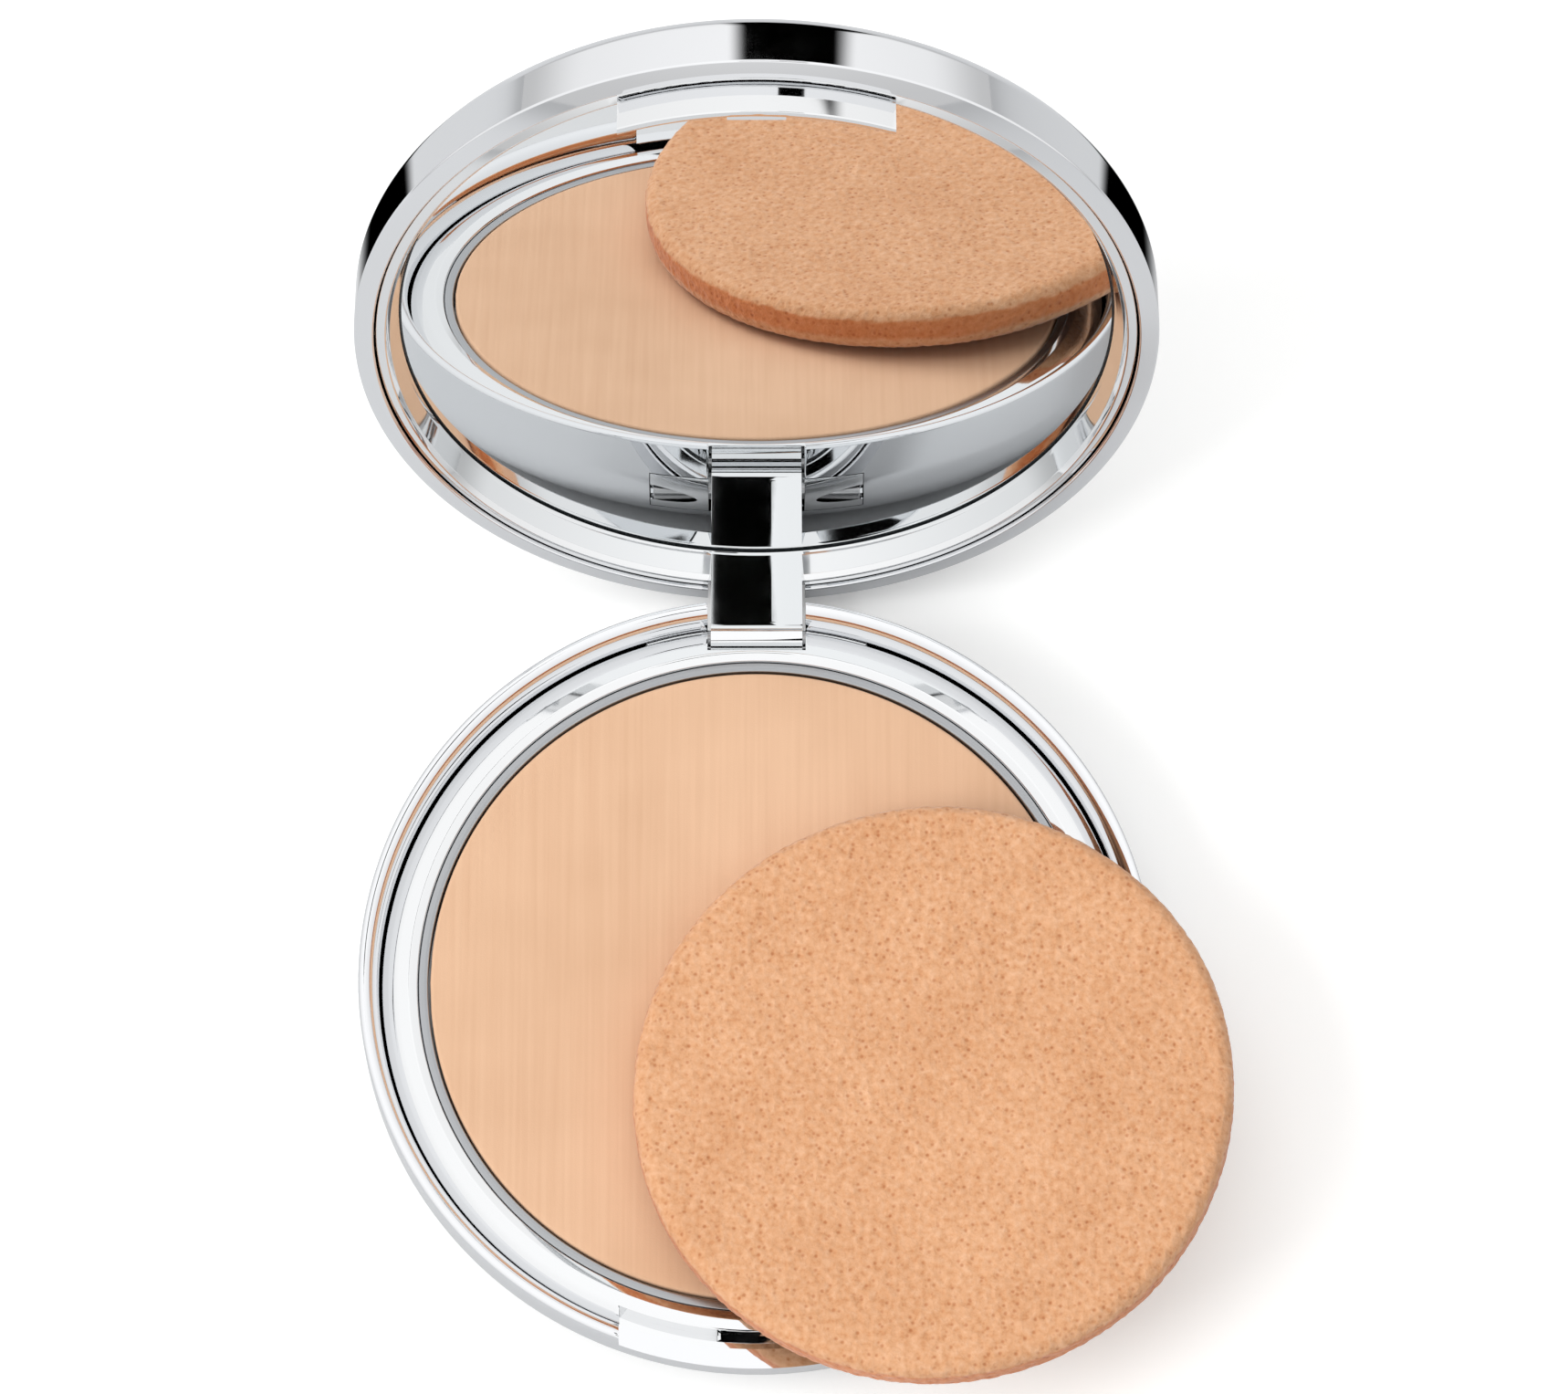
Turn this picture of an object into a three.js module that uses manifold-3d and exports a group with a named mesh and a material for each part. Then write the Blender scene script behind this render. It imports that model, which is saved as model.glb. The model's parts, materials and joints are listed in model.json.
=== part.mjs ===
// Round powder compact, lying open on its flat base.
//
// Frame: millimetres, +Z up. The origin is the centre of the base's underside, the hinge runs
// along X behind the base (+Y), and the thumb notch faces the user (-Y).
// The lid's pieces are drawn shut, then turned open about the hinge pin.

import * as THREE from 'three';
import { mergeVertices } from 'three/addons/utils/BufferGeometryUtils.js';
import Module from 'manifold-3d';

const wasm = await Module();
wasm.setup();

// Driving dimensions, in millimetres and degrees.
const OUTER_R = 37;
const BASE_H = 12;
const LID_TOP_Z = 19.7;
const PARTING_GAP = 0.25;
const GAP = 0.3;
const THIN_GAP = 0.2;
const OPEN_ANGLE = THREE.MathUtils.degToRad(110);
const ROUND_STEPS = 60;
const QUARTER_TURN = Math.PI / 2;
const OVERCUT = 1;

// Base shell: a shallow bowl with an upright band at the top.
const FOOT_R = 25;
const BAND_Z = 8;
const SHELL_FLOOR = 1.5;
const CREST_R = 0.4;
const CREST_SWEEP = 160;
const SHELL_INNER_R = 35.1;
const BACK_CUT_Y = 30;
const FRONT_CUT_Y = -28;

// Label seat in the underside.
const LABEL_R = 17;
const LABEL_T = 0.4;
const LABEL_SEAT_DEPTH = 0.7;

// Deck ring, well and pan.
const WELL_R = 31.55;
const WELL_FLOOR_Z = 5;
const DECK_IN_R = 32.4;
const DECK_IN_Z = 9.85;
const DECK_OUT_R = 34.8;
const DECK_OUT_Z = 8.7;
const DECK_UNDER_Z = 6.2;
const DECK_FLOOR = 1;
const DECK_WALL = 1.25;
const DECK_SKIRT = 0.75;
const TRAY_FOOT_IN = 1.6;
const TRAY_FOOT_UP = 0.4;
const WELL_LIP_Z = 9.2;
const WELL_LIP_DROP = 0.3;
const WELL_LIP_OUT = 0.15;
const FOOT_RING_R = 20;
const FOOT_RING_T = 1.2;
const POWDER_Z = 9.4;
const POWDER_R = 30.3;
const PAN_IN_R = 30.6;
const PAN_OUT_R = 31.3;
const PAN_RIM_Z = 9.3;
const PAN_FLOOR = 0.5;
const PAN_BEAD = 0.2;
const PAN_CORNER = 0.5;
const PAN_ROUND = 0.15;
const CAKE_EDGE = 0.25;
const PAD_T = 0.4;
const PAD_IN_R = 8;
const PAD_OUT_R = 24;

// Thumb notch at the front, with the slot that the lid's catch drops into.
const NOTCH_HALF_W = 12.6;
const NOTCH_IN_R = 33.5;
const NOTCH_FLOOR_Z = 7.3;
const NOTCH_WALL_Z = 9.8;
const SLOT_HALF_W = 3.3;
const SLOT_DEPTH = 0.8;
const SLOT_TOP_Z = 9.45;

// Hinge at the back.
const HINGE_Y = 35;
const HINGE_Z = 6.1;
const PIN_R = 0.8;
const PIN_HALF_L = 10;
const KNUCKLE_R = 2.2;
const EAR_OUT_X = 10.3;
const EAR_FRONT_Y = 31.8;
const LUG_SLOT_Y = 32.6;
const LUG_HALF_W = 4.35;
const LUG_R = 2.05;
const LUG_BACK_Y = 36.9;
const POCKET_FLOOR_Z = 3.5;
const POCKET_TOP_Z = 8.7;

// Lid.
const RIM_Z = BASE_H + PARTING_GAP;
const LID_WALL = 1.4;
const LID_ROOF = 1.1;
const LID_RIM_R = 0.25;
const LID_LIP_IN = 0.3;
const LID_LIP_UP = 0.4;
const LID_WALL_FOOT = 1.2;
const LID_SIDE_Z = 16.9;
const LID_SHOULDER_R = 34.4;
const LID_SHOULDER_Z = 19.1;
const LID_SHOULDER_IN = 0.6;
const LID_CROWN_R = 24;
const LID_CROWN_Z = 19.5;
const LID_SLOT_H = 2.6;
const BEZEL_R = 34.75;
const MIRROR_EDGE_R = 32.9;
const MIRROR_R = 33.6;
const MIRROR_Z = RIM_Z + 3.15;
const MIRROR_T = 1.5;
const MIRROR_BEVEL = 0.3;
const MIRROR_PAD_R = 29;
const MIRROR_PAD_T = 0.9;
const BEZEL_FOOT = 0.1;
const BEZEL_CORNER = 0.25;
const BEZEL_TOE_R = 34.1;
const BEZEL_HEEL_R = 33.7;
const BEZEL_HEEL_UP = 0.5;
const BEZEL_LIP_T = 0.5;
const BEZEL_LIP_OUT = 0.2;
const BEZEL_TRIM_UP = 2.3;
const LUG_ROOT_DROP = 0.3;
const TAB_HALF_W = 12.3;
const TAB_DROP = 3.6;
const TAB_T = 0.85;
const TAB_ROOT_UP = 1.4;
const TAB_TIP_IN = 0.39;
const TAB_CUT_Y = -20;
const NUB_HALF_W = 2.6;
const NUB_H = 0.6;
const NUB_PROUD = 0.1;

// Sponge, laid half over the powder on the front right of the rim.
const SPONGE_R = 27.7;
const SPONGE_T = 5;
const SPONGE_ROUND = 2.4;
const SPONGE_OFFSET = 20.5;
const SPONGE_HEADING = new THREE.Vector3(0.8, -0.6, 0);
const SPONGE_TILT = THREE.MathUtils.degToRad(5.6);
const SPONGE_UNDER_Z = 12.08;

// ---- Shape helpers ----

// Closed geometry to manifold solid: positions only, shared vertices, no flat pole triangles.
function toSolid(geometry) {
  const bare = geometry.clone();
  bare.deleteAttribute('normal');
  bare.deleteAttribute('uv');
  const merged = mergeVertices(bare, 1e-4);
  const index = merged.index.array;
  const kept = [];
  for (let i = 0; i < index.length; i += 3) {
    const [a, b, c] = [index[i], index[i + 1], index[i + 2]];
    if (a !== b && b !== c && c !== a) kept.push(a, b, c);
  }
  const mesh = new wasm.Mesh({
    numProp: 3,
    vertProperties: new Float32Array(merged.attributes.position.array),
    triVerts: new Uint32Array(kept),
  });
  return new wasm.Manifold(mesh);
}

// Manifold solid back to a three.js geometry.
function toGeometry(solid) {
  const mesh = solid.getMesh();
  const geometry = new THREE.BufferGeometry();
  geometry.setAttribute('position', new THREE.BufferAttribute(mesh.vertProperties, 3));
  geometry.setIndex(new THREE.BufferAttribute(mesh.triVerts, 1));
  geometry.computeVertexNormals();
  return geometry;
}

// Solid of revolution about Z from [radius, z] pairs, listed anticlockwise.
function turned(profile, steps = ROUND_STEPS) {
  const points = profile.map(([r, z]) => new THREE.Vector2(r, z));
  const geometry = new THREE.LatheGeometry(points, steps);
  geometry.rotateX(QUARTER_TURN);
  return toSolid(geometry);
}

// Points on an ellipse arc, from one angle to the other (0 is outward, 90 is up).
function arc(cr, cz, a, b, fromDeg, toDeg, steps) {
  const points = [];
  for (let i = 0; i <= steps; i += 1) {
    const t = THREE.MathUtils.degToRad(fromDeg + ((toDeg - fromDeg) * i) / steps);
    points.push([cr + a * Math.cos(t), cz + b * Math.sin(t)]);
  }
  return points;
}

// Block between two corners.
function block(x0, x1, y0, y1, z0, z1) {
  const geometry = new THREE.BoxGeometry(x1 - x0, y1 - y0, z1 - z0);
  geometry.translate((x0 + x1) / 2, (y0 + y1) / 2, (z0 + z1) / 2);
  return toSolid(geometry);
}

// Round bar along X, centred on the hinge axis.
function hingeBar(radius, x0, x1, steps = 32) {
  const geometry = new THREE.CylinderGeometry(radius, radius, x1 - x0, steps);
  geometry.rotateZ(QUARTER_TURN);
  geometry.translate((x0 + x1) / 2, HINGE_Y, HINGE_Z);
  return toSolid(geometry);
}

// Ring between two radii and two heights.
function ring(r0, r1, z0, z1) {
  return turned([[r0, z0], [r1, z0], [r1, z1], [r0, z1], [r0, z0]]);
}

// Disc about Z.
function disc(radius, z0, z1) {
  return turned([[0, z0], [radius, z0], [radius, z1], [0, z1]]);
}

// The same shape made on both sides of the middle plane.
function bothSides(make) {
  return make(-1).add(make(1));
}

// ---- Base ----

function baseOuterShell() {
  const crestZ = BASE_H - CREST_R;
  const shell = turned([
    [0, LABEL_SEAT_DEPTH],
    [LABEL_R + GAP, LABEL_SEAT_DEPTH],
    [LABEL_R + GAP, 0],
    ...arc(FOOT_R, BAND_Z, OUTER_R - FOOT_R, BAND_Z, -90, 0, 8),
    ...arc(OUTER_R - CREST_R, crestZ, CREST_R, CREST_R, 0, CREST_SWEEP, 6),
    [SHELL_INNER_R, DECK_OUT_Z],
    ...arc(FOOT_R, BAND_Z, SHELL_INNER_R - FOOT_R, BAND_Z - SHELL_FLOOR, 0, -90, 6),
    [0, SHELL_FLOOR],
  ]);
  const outside = OUTER_R + OVERCUT;
  const above = BASE_H + OVERCUT;
  const earReach = EAR_OUT_X + GAP;
  const lugReach = LUG_HALF_W + GAP;
  const earPocket = block(-earReach, earReach, BACK_CUT_Y, outside, POCKET_FLOOR_Z, POCKET_TOP_Z);
  const lugSlot = block(-lugReach, lugReach, BACK_CUT_Y, outside, POCKET_FLOOR_Z, above);
  const thumbCut = block(-NOTCH_HALF_W, NOTCH_HALF_W, -outside, FRONT_CUT_Y, NOTCH_WALL_Z, above);
  return shell.subtract(earPocket).subtract(lugSlot).subtract(thumbCut);
}

// The tray that holds the pan, with its sloping deck ring and the ring foot under it.
function deckTray() {
  const wallR = WELL_R + DECK_WALL;
  const tray = turned([
    [0, WELL_FLOOR_Z - DECK_FLOOR],
    [wallR - TRAY_FOOT_IN, WELL_FLOOR_Z - DECK_FLOOR],
    [wallR, WELL_FLOOR_Z + TRAY_FOOT_UP],
    [wallR, DECK_UNDER_Z],
    [DECK_OUT_R - DECK_SKIRT, DECK_UNDER_Z],
    [DECK_OUT_R, DECK_UNDER_Z + DECK_SKIRT],
    ...arc(DECK_IN_R, DECK_OUT_Z, DECK_OUT_R - DECK_IN_R, DECK_IN_Z - DECK_OUT_Z, 0, 90, 5),
    [WELL_R + WELL_LIP_OUT, WELL_LIP_Z],
    [WELL_R, WELL_LIP_Z - WELL_LIP_DROP],
    [WELL_R, WELL_FLOOR_Z],
    [0, WELL_FLOOR_Z],
  ]);
  const footTopZ = WELL_FLOOR_Z - DECK_FLOOR / 2;
  return tray.add(ring(FOOT_RING_R, FOOT_RING_R + FOOT_RING_T, SHELL_FLOOR + THIN_GAP, footTopZ));
}

// One hinge ear, on the side given by the sign.
function hingeEar(side) {
  const inner = LUG_HALF_W + GAP;
  const x0 = side < 0 ? -EAR_OUT_X : inner;
  const x1 = side < 0 ? -inner : EAR_OUT_X;
  const web = block(x0, x1, EAR_FRONT_Y, HINGE_Y, HINGE_Z - KNUCKLE_R, HINGE_Z + KNUCKLE_R);
  return web.add(hingeBar(KNUCKLE_R, x0, x1));
}

function baseDeck() {
  const lugReach = LUG_HALF_W + GAP;
  const ears = bothSides(hingeEar).subtract(disc(WELL_R, WELL_FLOOR_Z, BASE_H));
  const thumbCut = block(-NOTCH_HALF_W, NOTCH_HALF_W, -OUTER_R, FRONT_CUT_Y, NOTCH_FLOOR_Z, BASE_H)
    .subtract(disc(NOTCH_IN_R, 0, BASE_H + OVERCUT));
  const slotCut = block(-SLOT_HALF_W, SLOT_HALF_W, -NOTCH_IN_R - OVERCUT, -NOTCH_IN_R + SLOT_DEPTH,
    NOTCH_FLOOR_Z + GAP, SLOT_TOP_Z);
  const lugSlot = block(-lugReach, lugReach, LUG_SLOT_Y, OUTER_R, 0, BASE_H);
  const pinHole = hingeBar(PIN_R + GAP, -OUTER_R, OUTER_R);
  return deckTray().add(ears)
    .subtract(thumbCut)
    .subtract(slotCut)
    .subtract(lugSlot)
    .subtract(pinHole);
}

function baseLabel() {
  return disc(LABEL_R, 0, LABEL_T);
}

function panAdhesive() {
  const z0 = WELL_FLOOR_Z + THIN_GAP;
  return ring(PAD_IN_R, PAD_OUT_R, z0, z0 + PAD_T);
}

function powderPan() {
  const z0 = WELL_FLOOR_Z + 2 * THIN_GAP + PAD_T;
  const wallR = PAN_OUT_R - PAN_BEAD;
  return turned([
    [0, z0],
    [wallR - PAN_CORNER, z0],
    [wallR, z0 + PAN_CORNER],
    [wallR, PAN_RIM_Z - PAN_CORNER],
    [PAN_OUT_R, PAN_RIM_Z - PAN_CORNER + PAN_BEAD],
    [PAN_OUT_R - PAN_ROUND, PAN_RIM_Z],
    [PAN_IN_R + PAN_ROUND, PAN_RIM_Z],
    [PAN_IN_R, PAN_RIM_Z - PAN_ROUND],
    [PAN_IN_R, z0 + PAN_FLOOR],
    [0, z0 + PAN_FLOOR],
  ]);
}

function powderCake() {
  const z0 = WELL_FLOOR_Z + 3 * THIN_GAP + PAD_T + PAN_FLOOR;
  return turned([
    [0, z0],
    [POWDER_R, z0],
    [POWDER_R, POWDER_Z - CAKE_EDGE],
    [POWDER_R - CAKE_EDGE, POWDER_Z],
    [0, POWDER_Z],
  ]);
}

function hingePin() {
  return hingeBar(PIN_R, -PIN_HALF_L, PIN_HALF_L, 24);
}

// ---- Lid, drawn shut ----

function lidOuterShell() {
  const innerR = OUTER_R - LID_WALL;
  const sideReach = OUTER_R - LID_SHOULDER_R;
  const lugReach = LUG_HALF_W + GAP;
  const shell = turned([
    [SHELL_INNER_R, RIM_Z + LID_LIP_UP],
    [SHELL_INNER_R + LID_LIP_IN, RIM_Z],
    ...arc(OUTER_R - LID_RIM_R, RIM_Z + LID_RIM_R, LID_RIM_R, LID_RIM_R, -90, 0, 3),
    ...arc(LID_SHOULDER_R, LID_SIDE_Z, sideReach, LID_SHOULDER_Z - LID_SIDE_Z, 0, 90, 5),
    [LID_CROWN_R, LID_CROWN_Z],
    [0, LID_TOP_Z],
    [0, LID_TOP_Z - LID_ROOF],
    [LID_CROWN_R, LID_CROWN_Z - LID_ROOF],
    [LID_SHOULDER_R - LID_SHOULDER_IN, LID_SHOULDER_Z - LID_ROOF],
    [innerR, LID_SIDE_Z],
    [innerR, RIM_Z + LID_WALL_FOOT],
    [SHELL_INNER_R, RIM_Z + LID_LIP_UP],
  ]);
  const slotTop = RIM_Z + LID_SLOT_H;
  return shell.subtract(block(-lugReach, lugReach, BACK_CUT_Y, OUTER_R + OVERCUT, RIM_Z - OVERCUT, slotTop));
}

// The ring that carries the mirror, before the lug, tab and catch join it.
function bezelRing() {
  const seatR = MIRROR_R + GAP;
  const lipZ = MIRROR_Z - THIN_GAP;
  const backZ = MIRROR_Z + MIRROR_T;
  const footZ = RIM_Z + BEZEL_FOOT;
  return turned([
    [BEZEL_R, footZ + BEZEL_CORNER],
    [BEZEL_R, backZ],
    [seatR, backZ],
    [seatR, lipZ],
    [MIRROR_EDGE_R, lipZ],
    [MIRROR_EDGE_R + BEZEL_LIP_OUT, lipZ - BEZEL_LIP_T],
    [BEZEL_HEEL_R, RIM_Z + BEZEL_HEEL_UP],
    [BEZEL_TOE_R, footZ],
    [BEZEL_R - BEZEL_CORNER, footZ],
    [BEZEL_R, footZ + BEZEL_CORNER],
  ]);
}

// The thumb tab leans in a little towards its tip, and its catch stands just proud of the slot.
function thumbTab() {
  const innerR = BEZEL_R - TAB_T;
  const tipZ = RIM_Z - TAB_DROP;
  const rootZ = RIM_Z + TAB_ROOT_UP;
  const band = turned([
    [innerR, tipZ],
    [BEZEL_R - TAB_TIP_IN, tipZ],
    [BEZEL_R, RIM_Z + BEZEL_FOOT],
    [BEZEL_R, rootZ],
    [innerR, rootZ],
    [innerR, tipZ],
  ]);
  const tab = band.intersect(block(-TAB_HALF_W, TAB_HALF_W, -OUTER_R, TAB_CUT_Y, 0, LID_TOP_Z));
  const nubFoot = -BEZEL_R + TAB_TIP_IN + NUB_PROUD;
  return tab.add(block(-NUB_HALF_W, NUB_HALF_W, nubFoot, -NOTCH_IN_R - NUB_PROUD, tipZ, tipZ + NUB_H));
}

function lidBezel() {
  const lugTop = MIRROR_Z - THIN_GAP - LUG_ROOT_DROP;
  const lug = block(-LUG_HALF_W, LUG_HALF_W, HINGE_Y - LUG_R, LUG_BACK_Y, HINGE_Z, lugTop)
    .add(hingeBar(LUG_R, -LUG_HALF_W, LUG_HALF_W));
  const backTrim = block(-OUTER_R, OUTER_R, BACK_CUT_Y, OUTER_R + OVERCUT, RIM_Z + BEZEL_TRIM_UP, LID_TOP_Z)
    .subtract(disc(BEZEL_R, 0, LID_TOP_Z + OVERCUT));
  const pinHole = hingeBar(PIN_R + GAP, -OUTER_R, OUTER_R);
  return bezelRing().add(lug).add(thumbTab()).subtract(backTrim).subtract(pinHole);
}

function mirror() {
  return turned([
    [0, MIRROR_Z],
    [MIRROR_R - MIRROR_BEVEL, MIRROR_Z],
    [MIRROR_R, MIRROR_Z + MIRROR_BEVEL],
    [MIRROR_R, MIRROR_Z + MIRROR_T],
    [0, MIRROR_Z + MIRROR_T],
  ]);
}

function mirrorAdhesive() {
  const z0 = MIRROR_Z + MIRROR_T + THIN_GAP;
  return disc(MIRROR_PAD_R, z0, z0 + MIRROR_PAD_T);
}

// ---- Sponge, drawn flat with its underside at zero ----

function sponge() {
  const straight = SPONGE_R - SPONGE_ROUND;
  return turned([
    [0, 0],
    ...arc(straight, SPONGE_ROUND, SPONGE_ROUND, SPONGE_ROUND, -90, 0, 4),
    ...arc(straight, SPONGE_T - SPONGE_ROUND, SPONGE_ROUND, SPONGE_ROUND, 0, 90, 4),
    [0, SPONGE_T],
  ], 48);
}

// ---- Materials and assembly ----

function finish(color, roughness, metalness) {
  return new THREE.MeshStandardMaterial({ color, roughness, metalness });
}

const chrome = finish(0xd9dadc, 0.08, 1);
const steel = finish(0xb8babd, 0.3, 1);
const aluminium = finish(0xbfbcb8, 0.35, 1);
const mirrorGlass = finish(0xeef0f1, 0.02, 1);
const paper = finish(0xf1f0ec, 0.8, 0);
const tape = finish(0xe6e3da, 0.9, 0);
const powder = finish(0xeec2a0, 0.95, 0);
const foam = finish(0xe9b187, 1, 0);

function piece(name, solid, material) {
  const mesh = new THREE.Mesh(toGeometry(solid), material);
  mesh.name = name;
  return mesh;
}

const group = new THREE.Group();
group.add(piece('base_outer_shell', baseOuterShell(), chrome));
group.add(piece('base_deck', baseDeck(), chrome));
group.add(piece('base_label', baseLabel(), paper));
group.add(piece('pan_adhesive', panAdhesive(), tape));
group.add(piece('powder_pan', powderPan(), aluminium));
group.add(piece('powder_cake', powderCake(), powder));
group.add(piece('hinge_pin', hingePin(), steel));

// The lid turns about the hinge axis: its pieces hang from a pivot group.
const lidPivot = new THREE.Group();
lidPivot.position.set(0, HINGE_Y, HINGE_Z);
lidPivot.rotation.x = -OPEN_ANGLE;
const lidPieces = new THREE.Group();
lidPieces.position.set(0, -HINGE_Y, -HINGE_Z);
lidPieces.add(piece('lid_outer_shell', lidOuterShell(), chrome));
lidPieces.add(piece('lid_bezel', lidBezel(), chrome));
lidPieces.add(piece('mirror', mirror(), mirrorGlass));
lidPieces.add(piece('mirror_adhesive', mirrorAdhesive(), tape));
lidPivot.add(lidPieces);
group.add(lidPivot);

// The sponge leans up towards its heading, off the powder and onto the rim.
const spongeMesh = piece('sponge', sponge(), foam);
const spongeAxis = new THREE.Vector3(0, 0, 1).cross(SPONGE_HEADING);
spongeMesh.position.copy(SPONGE_HEADING).multiplyScalar(SPONGE_OFFSET);
spongeMesh.position.z = SPONGE_UNDER_Z;
spongeMesh.setRotationFromAxisAngle(spongeAxis, -SPONGE_TILT);
group.add(spongeMesh);

export default group;
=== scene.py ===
# Round powder compact, lying open with its sponge half over the powder. Lengths in the settings
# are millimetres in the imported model's frame. The lid's pieces are drawn shut, then opened.
import bmesh
import bpy
import json
import math
from mathutils import Matrix, Vector


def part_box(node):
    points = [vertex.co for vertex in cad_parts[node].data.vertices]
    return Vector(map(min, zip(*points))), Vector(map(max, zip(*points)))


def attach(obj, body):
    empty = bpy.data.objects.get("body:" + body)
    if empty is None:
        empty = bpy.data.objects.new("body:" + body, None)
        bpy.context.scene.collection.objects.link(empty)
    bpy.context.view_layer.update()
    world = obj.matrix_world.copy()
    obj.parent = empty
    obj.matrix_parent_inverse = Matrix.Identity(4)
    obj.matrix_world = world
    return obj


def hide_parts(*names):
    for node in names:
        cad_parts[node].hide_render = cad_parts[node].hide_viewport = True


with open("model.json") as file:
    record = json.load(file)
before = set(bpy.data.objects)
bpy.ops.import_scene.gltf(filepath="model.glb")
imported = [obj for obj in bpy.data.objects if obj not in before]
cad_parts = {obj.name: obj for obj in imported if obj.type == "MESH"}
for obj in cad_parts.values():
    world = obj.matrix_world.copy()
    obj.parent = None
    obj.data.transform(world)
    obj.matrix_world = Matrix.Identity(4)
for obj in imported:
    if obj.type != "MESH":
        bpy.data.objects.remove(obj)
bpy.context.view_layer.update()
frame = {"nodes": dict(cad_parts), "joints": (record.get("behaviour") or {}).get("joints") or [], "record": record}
nodes = frame["nodes"]
mm = 0.001
bodies = frame["record"]["behaviour"]["bodies"]
bodyOf = {node: body for body, members in bodies.items() for node in members}

lidHinge = next(joint for joint in frame["joints"] if joint["name"] == "lid_hinge")
hingePoint = Vector(lidHinge["pos_m"])
openAngle = math.radians(lidHinge["range_deg"][0])
openLid = (Matrix.Translation(hingePoint) @ Matrix.Rotation(openAngle, 4, "X")
           @ Matrix.Translation(-hingePoint))
inPlace = Matrix.Identity(4)

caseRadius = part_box("base_outer_shell")[1].x / mm
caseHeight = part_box("base_outer_shell")[1].z / mm
hingeY = hingePoint.y / mm
hingeZ = hingePoint.z / mm
overcut = 1  # how far a cutting block reaches past what it cuts


# sRGB hex to the linear colour that Blender's sockets take.
def linear(hexColour):
    channels = [int(hexColour[i:i + 2], 16) / 255 for i in (0, 2, 4)]
    curved = [c / 12.92 if c <= 0.04045 else ((c + 0.055) / 1.055) ** 2.4 for c in channels]
    return (*curved, 1.0)


# Adds one node with its settings. An input is a value or the socket that feeds it, and stops
# are the (position, hex) stops of a colour ramp.
def addNode(tree, kind, inputs=None, stops=(), **settings):
    node = tree.nodes.new(kind)
    for name, value in settings.items():
        setattr(node, name, value)
    for key, value in (inputs or {}).items():
        if isinstance(value, bpy.types.NodeSocket):
            tree.links.new(value, node.inputs[key])
        else:
            node.inputs[key].default_value = value
    if stops:
        elements = node.color_ramp.elements
        while len(elements) < len(stops):
            elements.new(0.5)
        for element, (position, colour) in zip(elements, stops):
            element.position = position
            element.color = linear(colour)
    return node


def newMaterial(name):
    material = bpy.data.materials.new(name)
    material.use_nodes = True
    material.node_tree.nodes.clear()
    return material, material.node_tree


# Sends the shader to the material's output.
def closeMaterial(tree, shader):
    addNode(tree, "ShaderNodeOutputMaterial", {"Surface": shader.outputs[0]})


# Object coordinates, stretched where a pattern runs along one axis.
def addPattern(tree, stretch=(1, 1, 1)):
    coordinates = addNode(tree, "ShaderNodeTexCoord")
    return addNode(tree, "ShaderNodeMapping", {"Vector": coordinates.outputs["Object"], "Scale": stretch})


# Chrome plating over moulded ABS: a hard mirror, with the faint flow waviness of the moulding
# under it and a trace of handling haze that only opens the highlights a little.
chromeWear = {"flowSize": 9, "flowDepth": 0.05, "hazeSize": 2.5, "clearest": 0.7, "haziest": 1.5}


def makeChrome(name, colour, roughness, waviness):
    material, tree = newMaterial(name)
    pattern = addPattern(tree)
    flow = addNode(tree, "ShaderNodeTexNoise", {
        "Vector": pattern.outputs[0], "Scale": 1 / (chromeWear["flowSize"] * mm), "Detail": 1.0})
    haze = addNode(tree, "ShaderNodeTexNoise", {
        "Vector": pattern.outputs[0], "Scale": 1 / (chromeWear["hazeSize"] * mm), "Detail": 4.0})
    spread = addNode(tree, "ShaderNodeMapRange", {
        "Value": haze.outputs["Fac"], "From Min": 0.3, "From Max": 0.75,
        "To Min": roughness * chromeWear["clearest"], "To Max": roughness * chromeWear["haziest"]})
    bump = addNode(tree, "ShaderNodeBump", {
        "Height": flow.outputs["Fac"], "Strength": waviness, "Distance": chromeWear["flowDepth"] * mm})
    shader = addNode(tree, "ShaderNodeBsdfPrincipled", {
        "Base Color": linear(colour), "Metallic": 1.0,
        "Roughness": spread.outputs["Result"], "Normal": bump.outputs["Normal"]})
    closeMaterial(tree, shader)
    return material


# Silvered float glass: the cleanest reflection on the object, with a trace of fingertip haze.
silvering = {"colour": "eff1f2", "hazeSize": 14, "haze": 0.012}


def makeMirror(name):
    material, tree = newMaterial(name)
    pattern = addPattern(tree)
    haze = addNode(tree, "ShaderNodeTexNoise", {
        "Vector": pattern.outputs[0], "Scale": 1 / (silvering["hazeSize"] * mm), "Detail": 5.0})
    spread = addNode(tree, "ShaderNodeMapRange", {
        "Value": haze.outputs["Fac"], "From Min": 0.45, "From Max": 0.8,
        "To Min": 0.0, "To Max": silvering["haze"]})
    shader = addNode(tree, "ShaderNodeBsdfPrincipled", {
        "Base Color": linear(silvering["colour"]), "Metallic": 1.0, "Roughness": spread.outputs["Result"]})
    closeMaterial(tree, shader)
    return material


# Deep-drawn aluminium sheet: satin, with the concentric marks that the punch leaves.
drawMarks = {"spacing": 0.25, "depth": 0.02, "strength": 0.25, "roughness": 0.3,
             "tones": [(0.3, "a6a8ab"), (0.7, "b3b5b7")]}


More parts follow.
